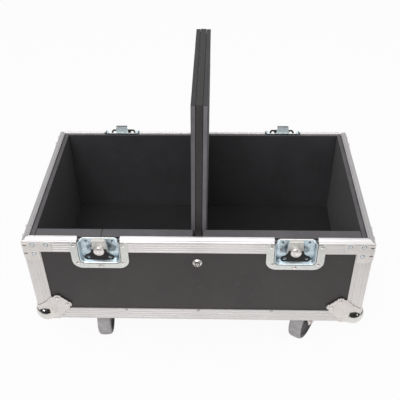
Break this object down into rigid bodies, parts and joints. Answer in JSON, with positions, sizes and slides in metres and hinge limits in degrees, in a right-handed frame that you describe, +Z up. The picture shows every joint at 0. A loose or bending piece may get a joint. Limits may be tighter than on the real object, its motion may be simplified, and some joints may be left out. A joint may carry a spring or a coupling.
{
  "type": "flight case base",
  "caption": "Base tray of a wheeled flight case for two subwoofers, with foam liners, a tall padded divider, aluminium edging, ball corners, recessed latches and swivel casters.",
  "frame": {"origin": "on the floor under the centre of the case", "axes": "+X to the right seen from the front, +Y from the front to the back, +Z up"},
  "size_m": [0.704, 0.4158, 0.6352],
  "materials": {
    "laminate": "satin black phenolic or plastic laminate with a fine grain, on plywood",
    "aluminium": "mill-finished extrusion with fine lengthwise flutes",
    "bright_steel": "bright zinc-plated pressed steel",
    "zinc_plate": "bluish bright zinc-plated pressed steel",
    "caster_steel": "zinc-plated pressed steel",
    "foam": "matt charcoal closed-cell foam",
    "black_steel": "black lacquered pressed steel",
    "plywood": "black-faced plywood with its layers showing at the edges",
    "tyre_rubber": "matt grey elastic tyre on a moulded wheel"
  },
  "bodies": {
    "base": {"panel_front": "laminate", "panel_right": "laminate", "panel_back": "laminate", "panel_left": "laminate", "panel_floor": "laminate", "liner_front": "foam", "liner_right": "foam", "liner_back": "foam", "liner_left": "foam", "divider_core": "plywood", "divider_foam_left": "foam", "divider_foam_right": "foam", "rail_front": "aluminium", "rail_right": "aluminium", "rail_back": "aluminium", "rail_left": "aluminium", "base_angle_front": "aluminium", "base_angle_right": "aluminium", "base_angle_back": "aluminium", "base_angle_left": "aluminium", "post_front_left": "aluminium", "post_front_right": "aluminium", "post_back_left": "aluminium", "post_back_right": "aluminium", "brace_front_left": "bright_steel", "brace_front_right": "bright_steel", "brace_back_left": "bright_steel", "brace_back_right": "bright_steel", "ball_corner_front_left": "bright_steel", "ball_corner_front_right": "bright_steel", "ball_corner_back_left": "bright_steel", "ball_corner_back_right": "bright_steel", "latch_dish_front_left": "zinc_plate", "latch_dish_front_right": "zinc_plate", "latch_dish_back_left": "zinc_plate", "latch_dish_back_right": "zinc_plate", "caster_plate_front_left": "caster_steel", "caster_plate_front_right": "caster_steel", "caster_plate_back_left": "caster_steel", "caster_plate_back_right": "caster_steel"},
    "latch_hub_front_left": {"latch_hub_front_left": "zinc_plate"},
    "latch_wing_front_left": {"latch_wing_front_left": "black_steel"},
    "latch_claw_front_left": {"latch_claw_front_left": "zinc_plate"},
    "latch_hub_front_right": {"latch_hub_front_right": "zinc_plate"},
    "latch_wing_front_right": {"latch_wing_front_right": "black_steel"},
    "latch_claw_front_right": {"latch_claw_front_right": "zinc_plate"},
    "latch_hub_back_left": {"latch_hub_back_left": "zinc_plate"},
    "latch_wing_back_left": {"latch_wing_back_left": "black_steel"},
    "latch_claw_back_left": {"latch_claw_back_left": "zinc_plate"},
    "latch_hub_back_right": {"latch_hub_back_right": "zinc_plate"},
    "latch_wing_back_right": {"latch_wing_back_right": "black_steel"},
    "latch_claw_back_right": {"latch_claw_back_right": "zinc_plate"},
    "caster_fork_front_left": {"caster_fork_front_left": "caster_steel"},
    "caster_wheel_front_left": {"caster_wheel_front_left": "tyre_rubber"},
    "caster_fork_front_right": {"caster_fork_front_right": "caster_steel"},
    "caster_wheel_front_right": {"caster_wheel_front_right": "tyre_rubber"},
    "caster_fork_back_left": {"caster_fork_back_left": "caster_steel"},
    "caster_wheel_back_left": {"caster_wheel_back_left": "tyre_rubber"},
    "caster_fork_back_right": {"caster_fork_back_right": "caster_steel"},
    "caster_wheel_back_right": {"caster_wheel_back_right": "tyre_rubber"}
  },
  "joints": [
    {"name": "latch_turn_front_left", "type": "hinge", "parent": "base", "child": "latch_hub_front_left", "pos_m": [-0.1918, -0.195, 0.331], "axis": [0, 1, 0], "range_deg": [0, 180]},
    {"name": "latch_claw_lift_front_left", "type": "slide", "parent": "base", "child": "latch_claw_front_left", "axis": [0, 0, 1], "range_m": [0, 0.016]},
    {"name": "latch_wing_fold_front_left", "type": "hinge", "parent": "latch_hub_front_left", "child": "latch_wing_front_left", "pos_m": [-0.1918, -0.1978, 0.331], "axis": [-1, 0, 0], "range_deg": [0, 100]},
    {"name": "latch_turn_front_right", "type": "hinge", "parent": "base", "child": "latch_hub_front_right", "pos_m": [0.1918, -0.195, 0.331], "axis": [0, 1, 0], "range_deg": [0, 180]},
    {"name": "latch_claw_lift_front_right", "type": "slide", "parent": "base", "child": "latch_claw_front_right", "axis": [0, 0, 1], "range_m": [0, 0.016]},
    {"name": "latch_wing_fold_front_right", "type": "hinge", "parent": "latch_hub_front_right", "child": "latch_wing_front_right", "pos_m": [0.1918, -0.1978, 0.331], "axis": [-1, 0, 0], "range_deg": [0, 100]},
    {"name": "latch_turn_back_left", "type": "hinge", "parent": "base", "child": "latch_hub_back_left", "pos_m": [-0.1918, 0.195, 0.331], "axis": [0, 1, 0], "range_deg": [-180, 0]},
    {"name": "latch_claw_lift_back_left", "type": "slide", "parent": "base", "child": "latch_claw_back_left", "axis": [0, 0, 1], "range_m": [-0.016, 0]},
    {"name": "latch_wing_fold_back_left", "type": "hinge", "parent": "latch_hub_back_left", "child": "latch_wing_back_left", "pos_m": [-0.1918, 0.1978, 0.331], "axis": [-1, 0, 0], "range_deg": [-35, 65]},
    {"name": "latch_turn_back_right", "type": "hinge", "parent": "base", "child": "latch_hub_back_right", "pos_m": [0.1918, 0.195, 0.331], "axis": [0, 1, 0], "range_deg": [-180, 0]},
    {"name": "latch_claw_lift_back_right", "type": "slide", "parent": "base", "child": "latch_claw_back_right", "axis": [0, 0, 1], "range_m": [-0.016, 0]},
    {"name": "latch_wing_fold_back_right", "type": "hinge", "parent": "latch_hub_back_right", "child": "latch_wing_back_right", "pos_m": [0.1918, 0.1978, 0.331], "axis": [-1, 0, 0], "range_deg": [-35, 65]},
    {"name": "caster_swivel_front_left", "type": "hinge", "parent": "base", "child": "caster_fork_front_left", "pos_m": [-0.218, -0.15, 0.119], "axis": [0, 0, 1], "continuous": true},
    {"name": "caster_roll_front_left", "type": "hinge", "parent": "caster_fork_front_left", "child": "caster_wheel_front_left", "pos_m": [-0.22078, -0.1121, 0.05], "axis": [0.9973, 0.0732, 0], "continuous": true},
    {"name": "caster_swivel_front_right", "type": "hinge", "parent": "base", "child": "caster_fork_front_right", "pos_m": [0.218, -0.15, 0.119], "axis": [0, 0, 1], "continuous": true},
    {"name": "caster_roll_front_right", "type": "hinge", "parent": "caster_fork_front_right", "child": "caster_wheel_front_right", "pos_m": [0.23774, -0.11753, 0.05], "axis": [0.8545, -0.5195, 0], "continuous": true},
    {"name": "caster_swivel_back_left", "type": "hinge", "parent": "base", "child": "caster_fork_back_left", "pos_m": [-0.218, 0.15, 0.119], "axis": [0, 0, 1], "continuous": true},
    {"name": "caster_roll_back_left", "type": "hinge", "parent": "caster_fork_back_left", "child": "caster_wheel_back_left", "pos_m": [-0.2259, 0.11283, 0.05], "axis": [-0.9781, 0.2079, 0], "continuous": true},
    {"name": "caster_swivel_back_right", "type": "hinge", "parent": "base", "child": "caster_fork_back_right", "pos_m": [0.218, 0.15, 0.119], "axis": [0, 0, 1], "continuous": true},
    {"name": "caster_roll_back_right", "type": "hinge", "parent": "caster_fork_back_right", "child": "caster_wheel_back_right", "pos_m": [0.22784, 0.1133, 0.05], "axis": [-0.9659, -0.2588, 0], "continuous": true}
  ],
  "couplings": [
    {"joint": "latch_claw_lift_front_left", "follows": "latch_turn_front_left", "m_per_rad": 0.00509},
    {"joint": "latch_claw_lift_front_right", "follows": "latch_turn_front_right", "m_per_rad": 0.00509},
    {"joint": "latch_claw_lift_back_left", "follows": "latch_turn_back_left", "m_per_rad": 0.00509},
    {"joint": "latch_claw_lift_back_right", "follows": "latch_turn_back_right", "m_per_rad": 0.00509}
  ]
}
